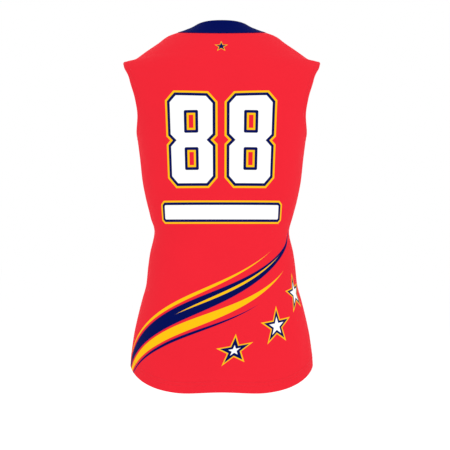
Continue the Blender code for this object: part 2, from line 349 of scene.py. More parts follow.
def apart(points, line):
    """Distance from each point to the nearest point of a line."""
    return np.linalg.norm(points[..., None, :] - line, axis=-1).min(axis=-1)


def outer_face(angle, height, panel, creases, hand):
    """Points of the cloth's outer face, on the left (hand 1) or right half (hand -1): the form,
    plus half the wall, plus the creases, which fade out towards the panel's borders."""
    place = flat_place(angle, height, panel) * (hand, 1)
    points = on_form(angle, height, panel)
    share = np.linspace(0, 1, BORDER_SAMPLES)
    lines = [hem_line(panel, share), neck_line(panel, share), edge_line(panel)]
    border = np.concatenate([on_form(*line, panel) for line in lines])
    inner = np.clip(apart(points, border) / CREASE_FADE, 0, 1)
    lift = SINGLE_CLOTH / 2 + inner ** 2 * (3 - 2 * inner) * creased(place, creases)
    points = points + lift[..., None] * outward(angle, height, panel)
    points[..., 1] += FACING[panel] * SEAM_GAP / 2
    return points * (hand, 1, 1), place


def both_halves(right, left, panel):
    """The two halves of a panel as one grid, in the order that turns its faces outwards."""
    return np.concatenate([right[:, :0:-1], left], axis=1)[:, ::-FACING[panel]]


def mesh_of(name, points, faces):
    """A smooth mesh of these points and faces."""
    mesh = bpy.data.meshes.new(name)
    mesh.from_pydata(points.reshape(-1, 3).tolist(), [], faces)
    mesh.shade_smooth()
    return mesh


def mesh_of_grid(name, points, flat):
    """A smooth mesh of quads over a grid of points, mapped by the places, in metres, where they
    lie on the flat cloth. A grid with one column fewer than its places is a closed ring."""
    rows, columns = points.shape[:2]
    index = np.arange(rows * columns).reshape(rows, columns)
    index = np.concatenate([index, index[:, :flat.shape[1] - columns]], axis=1)
    faces, corners = (np.stack([grid[:-1, :-1], grid[:-1, 1:], grid[1:, 1:], grid[1:, :-1]], axis=2)
                      for grid in (index, flat))
    mesh = mesh_of(name, points, faces.reshape(-1, 4).tolist())
    place = mesh.uv_layers.new(name="flat")
    place.data.foreach_set("uv", corners.astype(np.float32).ravel())
    return mesh


def into_turning(panel):
    """How far each point lies inside the edge of a turning, on the hem or round an armhole:
    positive in the double cloth and negative in the single."""
    angle, height = half_panel(panel)
    points = on_form(angle, height, panel)
    share = np.linspace(0, 1, TURNING_SAMPLES)
    half = -np.ones_like(angle)
    for line, depth in ((hem_line, HEM_DEPTH), (armhole_line, ARMHOLE_TURNING)):
        edge = on_form(*line(panel, share), panel)
        half = np.maximum(half, depth - apart(points, edge))
    return both_halves(half, half, panel)


def placed(data, location=(0, 0, 0)):
    """A new object in the scene, at this location, with this data and its name."""
    made = bpy.data.objects.new(data.name, data)
    made.location = location
    bpy.context.scene.collection.objects.link(made)
    return made


def piece_of(mesh, *materials):
    """A piece in the scene with this mesh and these materials."""
    for material in materials:
        mesh.materials.append(material)
    return placed(mesh)


def modify(piece, kind, **settings):
    """Adds a modifier of this kind with these settings."""
    made = piece.modifiers.new(kind.lower(), kind)
    for name, value in settings.items():
        setattr(made, name, value)


def cloth_panel(panel, creases, face, inside):
    """A panel as a thin shell: its outer face, and a wall inwards, double where it is turned in."""
    right, left = (outer_face(*half_panel(panel), panel, creases, hand) for hand in (-1, 1))
    points, flat = (both_halves(*halves, panel) for halves in zip(right, left))
    mesh = mesh_of_grid(panel + "_panel", points, flat)
    piece = piece_of(mesh, face, inside)
    turning = into_turning(panel).ravel()
    mesh.attributes.new("into_turning", "FLOAT", "POINT").data.foreach_set("value", turning)
    double = turning > 0
    plies = piece.vertex_groups.new(name="plies")
    plies.add(np.flatnonzero(double).tolist(), 1, "REPLACE")
    plies.add(np.flatnonzero(~double).tolist(), SINGLE_CLOTH / DOUBLE_CLOTH, "REPLACE")
    modify(piece, "SOLIDIFY", thickness=DOUBLE_CLOTH, offset=-1, vertex_group="plies",
           material_offset=1)
    modify(piece, "BEVEL", width=EDGE_ROUNDING, segments=2, limit_method="ANGLE",
           angle_limit=EDGE_ANGLE)
    return piece


def linear(colour):
    """An sRGB hex colour as linear light."""
    part = np.array([int(colour[i:i + 2], 16) for i in (1, 3, 5)]) / 255
    light = np.where(part <= 0.04045, part / 12.92, ((part + 0.055) / 1.055) ** 2.4)
    return (*light.tolist(), 1)


def node(tree, kind, *inputs, **named):
    """Adds a shader node, for a kind in capitals the Math node with that operation. Inputs fill
    its sockets in order, each a value, a field, a socket or a node whose first output is meant; a
    capitalised name is a socket, and any other name is a setting."""
    made = tree.nodes.new("ShaderNode" + ("Math" if kind.isupper() else kind))
    if kind.isupper():
        made.operation = kind
    for name, value in named.items():
        if name[0].islower():
            setattr(made, name, value)
    sockets = [(name, value) for name, value in named.items() if name[0].isupper()]
    for key, value in [*enumerate(inputs), *sockets]:
        value = value.output if isinstance(value, Field) else value
        value = value.outputs[0] if isinstance(value, bpy.types.Node) else value
        if isinstance(value, bpy.types.NodeSocket):
            tree.links.new(value, made.inputs[key])
        else:
            made.inputs[key].default_value = value
    return made


class Field:
    """A number that a shader works out at each place. Arithmetic with it adds Math nodes."""

    def __init__(self, tree, output):
        self.tree, self.output = tree, output

    def math(self, operation, *inputs):
        """The field that this operation makes of it and the inputs."""
        return Field(self.tree, node(self.tree, operation, self, *inputs))

    __add__ = partialmethod(math, "ADD")
    __sub__ = partialmethod(math, "SUBTRACT")
    __mul__ = partialmethod(math, "MULTIPLY")
    __truediv__ = partialmethod(math, "DIVIDE")
    __mod__ = partialmethod(math, "FLOORED_MODULO")
    __neg__ = partialmethod(math, "MULTIPLY", -1)
    __abs__ = partialmethod(math, "ABSOLUTE")


def across_and_up(tree, flat):
    """Where a place lies on the flat cloth, as two fields."""
    place = node(tree, "SeparateXYZ", flat)
    return [Field(tree, place.outputs[axis]) for axis in "XY"]


# The knit: needle loops in upright wales. Real interlock has 1.2 wales to the millimetre; it is
# drawn a little coarser, so that it shows in a close view.
WALE = 0.0013
COURSE = 0.0011
LOOP_HEIGHT = 0.00014
LOOP_BUMP = 0.6                # share of its relief that the knit's shading shows
LOOP_PAINTED_SHADE = (0.90, 1.04)      # painted shade in the hollows between the loops and painted highlight on their crowns
NOISE_SPAN = (0.3, 0.7)        # between which most values of a noise lie
DYE_PATCH = 0.11               # size of the patches in which the cloth took the dye unevenly
DYE_SHADE = (0.985, 1.01)
STEP_WIDTH = 0.0007            # over which a turning's edge shows through the face as a soft step
STEP_HEIGHT = 0.0004
PUCKER_SIZE = 0.006            # of the uneven puckers that the stitches draw up
PUCKER_HEIGHT = 0.0005
PUCKER_FADE = 0.002            # to both sides of the turning's edge, where they come up
EDGE_BUMP = 0.8                # share of its relief that a turning's shading shows

# Polyester as knit: hardly a gleam, because the loops break it up, and a faint soft sheen
KNIT_SURFACE = {"IOR": 1.5, "Specular IOR Level": 0.03, "Sheen Weight": 0.01,
                "Sheen Roughness": 0.5}


def knit_loops(tree, flat):
    """Relief from 0 to 1 of a knitted face: along each wale the loops lean to both sides in a V,
    which is a sine of the length plus a zigzag of the width, on a rounded wale. Either gives half
    of the relief."""
    across, up = across_and_up(tree, flat)
    lean = (across / WALE).math("PINGPONG", 0.5)
    loop = ((up / COURSE + lean) * (2 * np.pi)).math("SINE")
    return loop * 0.25 + 0.25 + lean


def smooth_step(tree, value, start, end, low, high):
    """A value that runs smoothly from low to high while another goes from start to end."""
    return node(tree, "MapRange", value, start, end, low, high, interpolation_type="SMOOTHSTEP")


def edge_relief(tree, flat):
    """Relief of a turned edge: a step where the double cloth ends, and puckers in the turning,
    which are noise times a window that is open over the turning's inner half."""
    turning = node(tree, "Attribute", attribute_name="into_turning").outputs["Fac"]
    step = smooth_step(tree, turning, -STEP_WIDTH, STEP_WIDTH, 0.0, STEP_HEIGHT)
    noise = node(tree, "TexNoise", flat, Scale=1 / PUCKER_SIZE, Detail=1.0)
    pucker = node(tree, "MapRange", noise.outputs["Fac"], *NOISE_SPAN, 0.0, PUCKER_HEIGHT)
    window = smooth_step(tree, turning, -PUCKER_FADE, PUCKER_FADE, 0.0, 1.0)
    return node(tree, "MULTIPLY_ADD", pucker, window, step)


def material_of(name, surface):
    """A new material, its nodes and its shader, with these values on the shader's sockets."""
    made = bpy.data.materials.new(name)
    made.use_nodes = True
    shader = made.node_tree.nodes["Principled BSDF"]
    for socket, value in surface.items():
        shader.inputs[socket].default_value = value
    return made, made.node_tree, shader


def shaded(tree, shader, colour, shade, bump):
    """Gives a material its colour, darker or lighter by a shade, and its relief."""
    grey = node(tree, "CombineXYZ", shade, shade, shade)
    tinted = node(tree, "MixRGB", 1.0, colour, grey, blend_type="MULTIPLY")
    tree.links.new(tinted.outputs[0], shader.inputs["Base Color"])
    tree.links.new(bump.outputs[0], shader.inputs["Normal"])


def knitted_polyester(name, colour, roughness, paint=None, relief=None):
    """Interlock knit: matt, because its loops scatter the light, with a short soft sheen at grazing
    angles, and unevenly dyed by a hundredth or two. Paint is a function that lays the print's
    colours on the ground colour, and relief one that gives the height, in metres, of what lies
    under the knit."""
    made, tree, shader = material_of(name, {"Roughness": roughness, **KNIT_SURFACE})
    flat = node(tree, "UVMap", uv_map="flat")
    loops = knit_loops(tree, flat)
    ground = paint(tree, flat, linear(colour)) if paint else linear(colour)
    # Painted shade and highlight: the hollows between the loops darker and their crowns lighter, in
    # the colour
    shade = node(tree, "MapRange", loops, 0.0, 1.0, *LOOP_PAINTED_SHADE)
    patch = node(tree, "TexNoise", flat, Scale=1 / DYE_PATCH, Detail=2.0)
    patch = node(tree, "MapRange", patch.outputs["Fac"], *NOISE_SPAN, *DYE_SHADE)
    shade = node(tree, "MULTIPLY", shade, patch)
    bump = node(tree, "Bump", Strength=LOOP_BUMP, Distance=LOOP_HEIGHT, Height=loops)
    if relief:
        under = node(tree, "Bump", Strength=EDGE_BUMP, Distance=1.0, Height=relief(tree, flat))
        tree.links.new(under.outputs[0], bump.inputs["Normal"])
    shaded(tree, shader, ground, shade, bump)
    return made


RED = "#EE2635"
RED_INSIDE = "#D9323F"         # the dye's strike-through on the cloth's inner face
NAVY = "#000C55"
GOLD = "#FFC410"
WHITE = "#FFFFFF"
INKS = {"gold": GOLD, "navy": NAVY, "streak": GOLD, "white": WHITE}    # each over those before it
INK_EDGE = 0.0002              # half the width over which one ink passes into the next

# The number, in plain block figures: places and sizes on the flat panel. It narrows downwards.
NUMBER_ACROSS = 0.0008
NUMBER_MIDDLE = -0.2137
NUMBER_WAIST = -0.2150         # the notches lie a little below the middle
NUMBER_NARROWING = 0.36        # share of its width that the number would lose over a metre
FIGURE_TILT = 0.04             # how steeply the top of a figure falls towards the middle
FIGURE_MIDDLE = 0.0508         # from the middle of the back to the middle of either figure
FIGURE_HALF_WIDTH = 0.0448
FIGURE_HALF_HEIGHT = 0.0833
CORNER_ACROSS = 0.0155         # the corners cut off a figure
CORNER_UP = 0.0175
NOTCH = 0.0070                 # depth of the notch in each side of a figure
COUNTER_UP = 0.0317            # from the figure's waist to the middle of either counter
COUNTER_HALF_WIDTH = 0.0039
COUNTER_HALF_HEIGHT = 0.0112
COUNTER_CORNER = 0.0022
FIGURE_GOLD = 0.0034           # widths of the two outlines
FIGURE_NAVY = 0.0049

# The bar below the number, left blank
BAR_MIDDLE = -0.3387
BAR_HALF_WIDTH = 0.1100
BAR_HALF_HEIGHT = 0.0200
BAR_CORNER = 0.0060
BAR_GOLD = 0.0030
BAR_NAVY = 0.0046

# Five-pointed stars: their middle, how far their points reach along a level and an upright axis,
# the degrees by which those axes are turned towards the wearer's left, and the two outlines.
STARS = np.array([
    (-0.0215, -0.5756, 0.0336, -9.8, 0.0284, -5.5, 0.0019, 0.0045),   # three on the right hip
    (-0.0960, -0.5357, 0.0305, -8.0, 0.0345, 0.9, 0.0019, 0.0034),
    (-0.1463, -0.4819, 0.0290, -12.5, 0.0361, 9.6, 0.0017, 0.0028),
    (0.0006, -0.0465, 0.0122, 0.0, 0.0122, 0.0, 0.0009, 0.0100),      # a small one at the nape
], dtype=number_columns("across up level tilt upright lean gold navy"))
FIFTH = 2 * np.pi / 5          # from one point of a star to the next

# Bands that sweep from the left of the hem up to the right of the waist. All follow one cubic,
# steeper at both ends. Each is a lens along it: from a start to an end, half its width at the
# middle, its distance above the cubic, and how much more above it at the cubic's right end.
SWEEP_MIDDLE = (0.030, -0.506)
SWEEP_REACH = 0.160            # from the middle to either end, across the panel
SWEEP_RISE = 0.066             # the cubic's even rise over that reach, and its steepening
SWEEP_STEEPENING = 0.036
BANDS = np.array([
    ("gold", -1.30, 0.72, 0.0030, 0.0330, 0.0060),
    ("navy", -1.55, 1.16, 0.0135, 0.0110, 0.0020),
    ("gold", -1.50, 0.90, 0.0082, -0.0170, -0.0050),
    ("navy", -1.25, 0.58, 0.0026, -0.0330, -0.0080),
    ("streak", -0.30, 0.84, 0.0024, 0.0130, 0.0020),
], dtype=[("ink", "U8"), *number_columns("start end half_width above fan")])


def outside(value, middle, half):
    """How far outside a span a value is, negative within it: its distance from the span's middle,
    less half the span."""
    return abs(value - middle) - half


def extreme(operation, fields):
    """The greatest (MAXIMUM) or the least (MINIMUM) of several distances."""
    return reduce(lambda found, field: found.math(operation, field), fields)


def figures(across, up):
    """How far outside each side of the two eights a place is, negative within them. Folded about
    its middle, a figure is a quarter of a block with one cut corner and one notch, less a counter,
    whose outside is the negative of its own greatest distance."""
    aside = up - NUMBER_MIDDLE
    evened = (across - NUMBER_ACROSS) / (aside * NUMBER_NARROWING + 1)
    folded = outside(evened, 0, FIGURE_MIDDLE)
    side = outside(folded, 0, FIGURE_HALF_WIDTH)
    end = extreme("MAXIMUM", [folded * -FIGURE_TILT + aside, -aside]) - FIGURE_HALF_HEIGHT
    off_waist = abs(up - NUMBER_WAIST)
    slant = np.hypot(CORNER_ACROSS, CORNER_UP)
    corner = (side * CORNER_UP + end * CORNER_ACROSS + CORNER_ACROSS * CORNER_UP) / slant
    notch = (side + NOTCH - off_waist) * np.sqrt(0.5)
    counter_side = outside(folded, 0, COUNTER_HALF_WIDTH)
    counter_end = outside(off_waist, COUNTER_UP, COUNTER_HALF_HEIGHT)
    counter_corner = (counter_side + counter_end) * np.sqrt(0.5) - COUNTER_CORNER
    counter = extreme("MAXIMUM", [counter_side, counter_end, counter_corner])
    return [side, end, corner, notch, -counter]


def blank_bar(across, up):
    """How far outside the bar's sides, its ends and its cut corners a place is."""
    side = outside(across, 0, BAR_HALF_WIDTH)
    end = outside(up, BAR_MIDDLE, BAR_HALF_HEIGHT)
    return [side, end, (side + end + BAR_CORNER) * np.sqrt(0.5)]


def five_points(across, up, star):
    """How far outside a five-pointed star a place is. Its angle is folded into a tenth of the
    turn, where the star has one straight side, with its normal a fifth of the turn from the
    point."""
    tilt, lean = np.radians(star["tilt"]), np.radians(star["lean"])
    axes = np.array([[star["level"] * np.cos(tilt), star["upright"] * np.sin(lean)],
                     [star["level"] * np.sin(tilt), star["upright"] * np.cos(lean)]])
    aside, above = across - star["across"], up - star["up"]
    x, y = (aside * of_aside + above * of_above for of_aside, of_above in np.linalg.inv(axes))
    length = (x * x + y * y).math("SQRT")
    angle = (x.math("ARCTAN2", y) + FIFTH / 2) % FIFTH
    side = outside(angle, FIFTH / 2, FIFTH).math("COSINE")
    return (side * length - np.cos(FIFTH)) * np.sqrt(star["level"] * star["upright"])


def sweep(across, up, band):
    """How far outside a band a place is: its height over the band's middle line, less the half
    width there, which is a parabola from the band's start to its end."""
    along = (across - SWEEP_MIDDLE[0]) / -SWEEP_REACH
    slope = along * along * SWEEP_STEEPENING + (SWEEP_RISE + band["fan"])
    line = slope * along + (SWEEP_MIDDLE[1] + band["above"])
    middle, reach = (band["start"] + band["end"]) / 2, (band["end"] - band["start"]) / 2
    share = (along - middle) / reach
    return share * share * band["half_width"] + outside(up, line, band["half_width"])


def printed_back(tree, flat, ground):
    """The print: gold, then navy inside it, then the gold streak, then white inside the navy. A
    place's distance outside a motif is the greatest of its distances outside the motif's sides, and
    the least of those to all motifs of one ink says whether that ink lies there."""
    across, up = across_and_up(tree, flat)
    fields = {ink: [] for ink in INKS}
    motifs = [(figures(across, up), FIGURE_GOLD, FIGURE_NAVY),
              (blank_bar(across, up), BAR_GOLD, BAR_NAVY)]
    motifs += [([five_points(across, up, star)], star["gold"], star["navy"]) for star in STARS]
    for sides, gold, navy in motifs:
        field = extreme("MAXIMUM", sides)
        fields["gold"].append(field)
        fields["navy"].append(field + gold)
        fields["white"].append(field + (gold + navy))
    for band in BANDS:
        fields[band["ink"]].append(sweep(across, up, band))
    colour = ground
    for ink, tint in INKS.items():
        nearest = extreme("MINIMUM", fields[ink])
        share = node(tree, "MapRange", nearest, INK_EDGE, -INK_EDGE, 0.0, 1.0)
        colour = node(tree, "MixRGB", share, colour, linear(tint))
    return colour


# The unprinted side of interlock knit: a paler red, and drier to the eye than the face.
red_inside = knitted_polyester("polyester_interlock_inside", RED_INSIDE, roughness=0.85)

# Interlock knit, its colours sublimated under heat and pressure: clear and even, with crisp edges
# and the knit showing through all of them alike, because no ink lies on top of it.
printed_red = knitted_polyester("polyester_interlock_printed", RED, roughness=0.75,
                                paint=printed_back, relief=edge_relief)
back_panel = cloth_panel("back", BACK_CREASES, printed_red, red_inside)
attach(back_panel, "root")
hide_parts("back")

# ------------------------------------------------------------------------------------------------
# Front panel. The same cloth in one piece on the fold, with the lower half of the crew neckline,
# dyed red all over. It is overlocked to the back at the sides and the shoulders.

FRONT_CREASES = np.array([
    (0.148, -0.368, -9, 0.080, 0.0080, 0.0009),       # at the waist, from the side seams
    (0.153, -0.392, 5, 0.058, 0.0070, 0.0007),
    (-0.151, -0.364, 11, 0.084, 0.0080, 0.0010),
    (-0.146, -0.388, -4, 0.055, 0.0065, 0.0006),
    (0.170, -0.228, 44, 0.075, 0.0085, 0.0010),       # drag lines from the underarms to the chest
    (0.150, -0.212, 30, 0.060, 0.0080, 0.0007),
    (-0.172, -0.232, -47, 0.071, 0.0085, 0.0009),
    (-0.148, -0.215, -33, 0.058, 0.0080, 0.0007),
    (0.095, -0.592, 86, 0.068, 0.0125, 0.0009),       # slack at the hem
    (-0.012, -0.605, 91, 0.055, 0.0130, 0.0007),
    (-0.128, -0.588, 95, 0.072, 0.0120, 0.0010),
], dtype=CREASE)

# Interlock knit in one clear red, dyed like the back's ground, so that both look cut from one roll.
plain_red = knitted_polyester("polyester_interlock_dyed", RED, roughness=0.75,
                              relief=edge_relief)
front_panel = cloth_panel("front", FRONT_CREASES, plain_red, red_inside)
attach(front_panel, "root")
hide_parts("front")

# ------------------------------------------------------------------------------------------------
# Neckband. A strip of navy knit folded along its middle, its two raw edges sewn into the neckline,
# so that only the fold and two faces show. Its ends are joined at the left shoulder seam.

BAND_WIDTH = 0.026
BAND_PLY = 0.0007
BAND_HALF_FOLD = 0.0008        # from the band's middle to the middle of either ply
# How far the band has turned at its fold from flush with the panels, upright where positive and
# into the neck where negative: on the shoulder, and what the middle of the back and of the front
# adds to that.
BAND_CURL = np.radians(-6)
BACK_BAND_CURL = np.radians(92)
FRONT_BAND_CURL = np.radians(-20)
BACK_CURL_POWER = 6            # how closely the extra turn keeps to the middle of the back
BAND_EASE = 0.022              # how gradually the band turns the corner at the shoulder seam
FLUSH_SHARE = 0.25             # of the band's width, over which it leaves the panels' direction
BAND_STEPS = 24
FOLD_STEPS = 7
NECK_COLUMNS = np.linspace(0, 1, 61)
JOIN_WIDTH = 0.0007
JOIN_DEPTH = 0.0006


def neck_ring(depth=0.0):
    """Points and normals of the form all round the neckline, or this far below it, from the
    middle of the back."""
    ring = []
    for line in (on_form, outward):
        behind, before = (line(*inside_border(neck_line(panel, NECK_COLUMNS), panel, -depth), panel)
                          for panel in ("back", "front"))
        half = np.concatenate([behind, before[-2::-1]])
        ring.append(np.concatenate([half, half[-2:0:-1] * (-1, 1, 1)]))
    return ring


def past_each(rings, axis=0):
    """From the point before it to the point after it, for each point of closed rings."""
    return np.roll(rings, -1, axis=axis) - np.roll(rings, 1, axis=axis)


def softened(directions, points):
    """Directions averaged over the nearby points of a closed ring, with bell-shaped weights."""
    spacing = np.linalg.norm(past_each(points), axis=1)
    distance = np.linalg.norm(points[:, None] - points, axis=2)
    weight = np.exp(-(distance / BAND_EASE) ** 2) * spacing
    return unit(weight @ directions)


def flush_ring(seam, normal):
    """Directions along the form and square to the neckline, into the neck."""
    return np.cross(unit(past_each(seam)), normal)


def band_grid():
    """The folded strip: a line that leaves the panels flush and turns upright, then a ply on its
    outer side, a half circle round the fold, and a ply back down its inner side."""
    seam, normal = neck_ring()
    flush = flush_ring(seam, normal)
    inward, upward = softened(flush, seam), softened(normal, seam)
    behind = np.clip(upward[:, 1:2], 0, 1) ** BACK_CURL_POWER
    before = np.clip(-upward[:, 1:2], 0, 1)
    curl = BAND_CURL + BACK_BAND_CURL * behind + FRONT_BAND_CURL * before
    share = np.linspace(0, 1, BAND_STEPS)[:, None, None]
    step = np.cos(share * curl) * inward + np.sin(share * curl) * upward
    free = np.minimum(share / FLUSH_SHARE, 1)
    step = unit(step * free + flush * (1 - free))
    start = seam + SEAM_GAP * flush
    walked = np.cumsum(step, axis=0) * BAND_WIDTH / BAND_STEPS
    middle = np.concatenate([start[None], start + walked])
    heading = np.concatenate([step[:1], step])
    out = unit(np.cross(heading, unit(past_each(middle, axis=1))))
    turn = np.linspace(0, np.pi, FOLD_STEPS + 2)[1:-1, None, None]
    fold = middle[-1] + BAND_HALF_FOLD * (np.cos(turn) * out[-1] + np.sin(turn) * heading[-1])
    outer, inner = middle + BAND_HALF_FOLD * out, middle - BAND_HALF_FOLD * out
    points = np.concatenate([outer, fold, inner[::-1]])
    round_neck = run_along(np.concatenate([seam, seam[:1]]))
    across = np.linspace(0, 2 * BAND_WIDTH, len(points))
    return points, np.stack(np.broadcast_arrays(round_neck[None], across[:, None]), axis=-1)


def band_relief(tree, flat):
    """Relief of the band: a narrow groove across it, rounded, where its two ends are joined."""
    off_join = abs(across_and_up(tree, flat)[0] - join_at)
    return smooth_step(tree, off_join, 0.0, JOIN_WIDTH, -JOIN_DEPTH, 0.0)


band_points, band_flat = band_grid()
join_at = band_flat[0, len(NECK_COLUMNS) - 1, 0]       # the left shoulder seam

# Interlock knit in a deep navy: so dark that only the sheen at its turned edges shows its form.
navy_knit = knitted_polyester("polyester_interlock_navy", NAVY, roughness=0.8,
                              relief=band_relief)
neckband = piece_of(mesh_of_grid("neckband", band_points, band_flat), navy_knit)
modify(neckband, "SOLIDIFY", thickness=BAND_PLY, offset=0)
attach(neckband, "root")
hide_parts("collar")

# ------------------------------------------------------------------------------------------------
# Seam allowances. At the sides and the shoulders both panels are overlocked together and pressed
# towards the back, and round the neck panel and band are overlocked together and pressed down:
# plies of the same cloth inside the jersey.

ALLOWANCE = 0.008
ALLOWANCE_WALL = 0.0011        # two plies, pressed
UNDER_CLOTH = 0.00045          # from the form to the allowance, just inside the panels' inner face
NECK_ALLOWANCE = 0.006
SIDE_SPAN = (-0.5920, -0.1850)         # heights that the allowances run between
SHOULDER_SPAN = (-0.0526, -0.0040)
ALLOWANCE_ROWS = 90
ALLOWANCE_COLUMNS = (-0.2, -0.1, 0, 0.2, 0.4, 0.6, 0.8, 1.0)    # shares of it, from before the seam
NECK_TAPER = 0.006             # height below the neckline in which an allowance narrows,
NARROWEST = 0.2                # and to what share of its width
SEARCH_ANGLE = 0.5             # how far from a seam its allowance's places are looked for
ABOVE_NECK = 0.0008            # where the neck's allowance begins, above the seam
NECK_ROWS = 6


def beside_seam(height, distance):
    """Points and normals of the form at distances behind a seam, or before it where they are
    negative, along the form's level outlines."""
    panel = "back" if np.all(distance >= 0) else "front"
    angle = SEAM - SEARCH_ANGLE * np.linspace(0, 1, FINE) ** 2
    line = on_form(angle, height[:, None], panel)
    length = np.cumsum(np.linalg.norm(np.diff(line, axis=1), axis=-1), axis=1)
    found = angle[(length < np.abs(distance)[:, None]).sum(axis=1)]
    return on_form(found, height, panel), outward(found, height, panel)


def allowance_reach(height):
    """An allowance's width at these heights: full, but for its last stretch up to the neckline."""
    return ALLOWANCE * np.clip(-height / NECK_TAPER, NARROWEST, 1)


def seam_strip(span):
    """Points of a strip along one seam, from just before it to its free edge behind it."""
    height = seam_line("back", *span, np.linspace(0, 1, ALLOWANCE_ROWS))[1]
    columns = []
    for share in ALLOWANCE_COLUMNS:
        point, normal = beside_seam(height, share * allowance_reach(height))
        columns.append(point - UNDER_CLOTH * normal)
    return np.stack(columns, axis=1)


def neck_strip():
    """Points of rings inside the panels, from just above the neck seam down to the free edge."""
    seam, normal = neck_ring()
    rings = [seam + ABOVE_NECK * flush_ring(seam, normal) - UNDER_CLOTH * normal]
    for depth in np.linspace(0, NECK_ALLOWANCE, NECK_ROWS):
        point, normal = neck_ring(depth)
        rings.append(point - UNDER_CLOTH * normal)
    return np.stack(rings)


def pressed_plies(mesh, material):
    """An allowance: its strip, and a wall inwards as thick as its two plies."""
    piece = piece_of(mesh, material)
    modify(piece, "SOLIDIFY", thickness=ALLOWANCE_WALL, offset=-1)
    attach(piece, "root")
    return piece


for name, span in (("side_allowance", SIDE_SPAN), ("shoulder_allowance", SHOULDER_SPAN)):
    strip = seam_strip(span)
    for side, hand in (("right", -1), ("left", 1)):
        mesh = mesh_of_grid(f"{name}_{side}", strip * (hand, 1, 1), strip[..., [1, 2]])
        if side == "right":
            mesh.flip_normals()
        pressed_plies(mesh, red_inside)
neck_points = neck_strip()
neck_mesh = mesh_of_grid("neck_allowance", neck_points, band_flat[:len(neck_points)])
neck_allowance = pressed_plies(neck_mesh, navy_knit)

# ------------------------------------------------------------------------------------------------
# Sewing, in spun polyester thread: two needles side by side along hem and armholes, one needle
# below the neckline, and an overlock round the free edges of the allowances.

STITCH = 0.0026                # what shows of a stitch, and from one stitch to the next
STITCH_PITCH = 0.0031
THREAD_HALF_WIDTH = 0.00028
THREAD_HEIGHT = 0.00034
THREAD_SIDES = 6
THREAD_DIP = 0.00026           # how far a stitch goes into the cloth at both ends
THREAD_CLEARANCE = 0.0001      # from the cloth's inner face to a thread's middle
STITCH_POINTS = 5              # along a stitch
SEWN_SAMPLES = 300             # along a line that is sewn
HEM_ROWS = (0.0130, 0.0185)    # distances from the edge
ARMHOLE_STITCH_ROWS = (0.0035, 0.0085)
NECK_ROW = 0.0022
COVER_SHARE = 0.25             # zigzags of the looper thread for each of a line's samples
COVER_ENDS = (0.004, 0.996)    # shares of a line that they run between
OVERLOCK_PITCH = 0.0027
OVERLOCK_ENDS = (0.002, 0.003)         # from the allowance's lower and upper end to the last thread
OVERLOCK_LEAN = 0.0012         # how far a thread climbs across the allowance
# A thread's places, as shares of the allowance's width, and how far it turns down over the edge
OVERLOCK_PATH = ((0.45, 0), (0.6, 0), (0.8, 0), (1.0, 0), (1.06, 0.0006))
TWIST = 0.00035                # from ply to ply along a thread
TWIST_WAVER = 1.5
TWIST_PAINTED_SHADE = (0.86, 1.04)     # painted shade between the plies and painted highlight on their crowns
TWIST_BUMP = 0.4
TWIST_HEIGHT = 0.0001
THREAD_SURFACE = {"Roughness": 0.55, "Specular IOR Level": 0.25}


def threads(path, out):
    """Rings of points round stitches: path is a line of points for each stitch, and out the
    cloth's normal there. A ring is an ellipse, and a stitch sinks at both ends by a parabola."""
    share = np.linspace(-1, 1, path.shape[1])[None, :, None]
    middle = path - THREAD_DIP * share ** 2 * out
    side = unit(np.cross(np.gradient(path, axis=1), out))
    turn = np.arange(THREAD_SIDES)[::-1, None] * 2 * np.pi / THREAD_SIDES
    width = THREAD_HALF_WIDTH * np.cos(turn) * side[:, :, None]
    return middle[:, :, None] + width + THREAD_HEIGHT * np.sin(turn) * out[:, :, None]


def read_along(at, run, values):
    """Points or directions that are known along a run, at other places of it."""
    return np.stack([np.interp(at, run, part) for part in values.T], axis=-1)


def sewn_face(line, panel, creases, hand):
    """Points and normals of the cloth's outer face along a line of angles and heights."""
    return outer_face(*line, panel, creases, hand)[0], outward(*line, panel) * (hand, 1, 1)


def sewn_line(*where):
    """Stitches along a line on the outer face."""
    points, out = sewn_face(*where)
    run = run_along(points)
    middle = np.arange(STITCH_PITCH / 2, run[-1] - STITCH / 2, STITCH_PITCH)
    at = middle[:, None] + STITCH / 2 * np.linspace(-1, 1, STITCH_POINTS)
    return threads(read_along(at, run, points), unit(read_along(at, run, out)))


def covered(lines, *where):
    """The looper thread of both needle rows, on the inner face: a zigzag from one to the other."""
    share = np.linspace(0, 1, SEWN_SAMPLES)
    stops = np.linspace(*COVER_ENDS, 2 * int(SEWN_SAMPLES * COVER_SHARE) + 1)
    rows, out = [], []
    for line in lines:
        face, normal = sewn_face(line, *where)
        face = face - (DOUBLE_CLOTH + THREAD_CLEARANCE) * normal
        rows.append(read_along(stops, share, face))
        out.append(-unit(read_along(stops, share, normal)))
    odd = (np.arange(len(stops)) % 2)[:, None]
    turns = rows[0] + odd * (rows[1] - rows[0])
    step = np.linspace(0, 1, STITCH_POINTS)[None, :, None]
    path = turns[:-1, None] + step * (turns[1:] - turns[:-1])[:, None]
    return threads(path, np.repeat((out[0] + out[1])[:-1, None] / 2, STITCH_POINTS, axis=1))


def overlocked(span):
    """Threads across the free edge of the allowances at one pair of seams, leaning a little."""
    height = np.arange(span[0] + OVERLOCK_ENDS[0], span[1] - OVERLOCK_ENDS[1], OVERLOCK_PITCH)
    depth = UNDER_CLOTH + ALLOWANCE_WALL + THREAD_CLEARANCE
    path, out = [], []
    for share, sink in OVERLOCK_PATH:
        point, normal = beside_seam(height + OVERLOCK_LEAN * share, share * allowance_reach(height))
        path.append(point - (depth - sink) * normal)
        out.append(-normal)
    path, out = np.stack(path, axis=1), np.stack(out, axis=1)
    return [threads(path * (hand, 1, 1), out * (hand, 1, 1)) for hand in (1, -1)]


